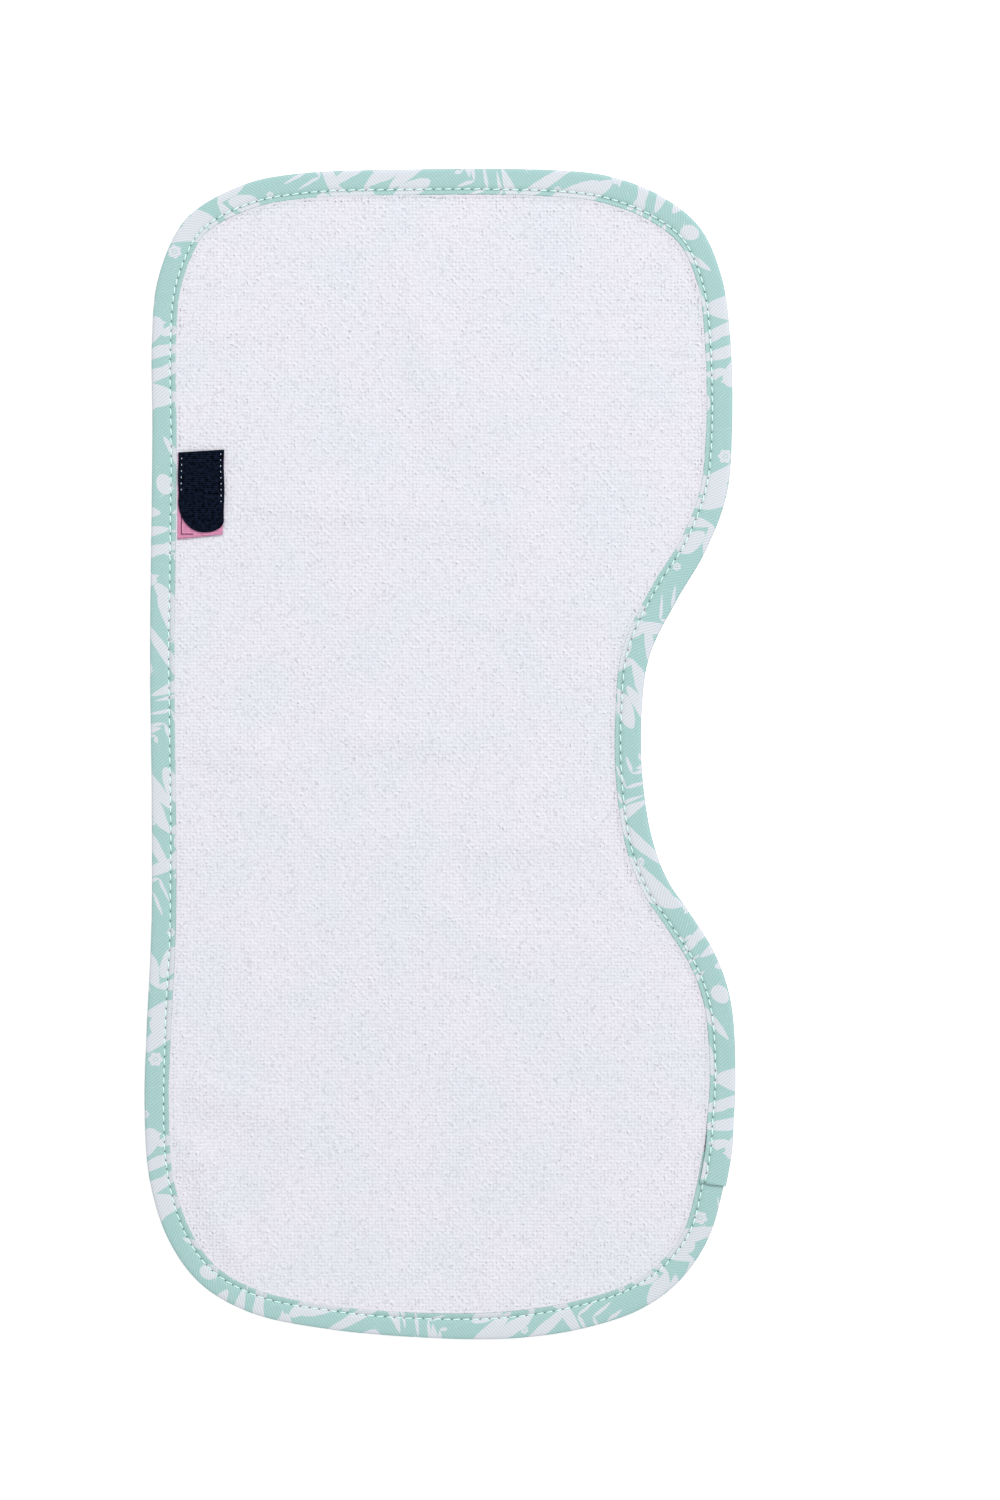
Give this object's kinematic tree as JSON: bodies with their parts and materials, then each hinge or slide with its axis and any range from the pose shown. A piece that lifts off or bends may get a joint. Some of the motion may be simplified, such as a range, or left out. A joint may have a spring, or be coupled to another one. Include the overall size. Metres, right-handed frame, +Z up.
{
  "type": "burp cloth",
  "caption": "Contoured burp cloth lying flat: white looped terry with a waisted side, bound all round in printed bias tape, with a small blank woven label.",
  "frame": {"origin": "middle of the cloth's bounding box, on the surface that it lies on", "axes": "+Y from the wide foot to the head that has the label, +X towards the waisted side, +Z up from the surface"},
  "size_m": [0.2564, 0.508, 0.0048],
  "materials": {
    "terry": "looped cotton terry, white",
    "binding": "twill cotton bias tape, mint with a white leaf print",
    "label_pink": "woven label, pink",
    "label_navy": "woven label, dark blue, no lettering"
  },
  "bodies": {
    "root": {"terry_panel": "terry", "edge_binding": "binding", "label_base": "label_pink", "label_tab": "label_navy"}
  },
  "joints": []
}
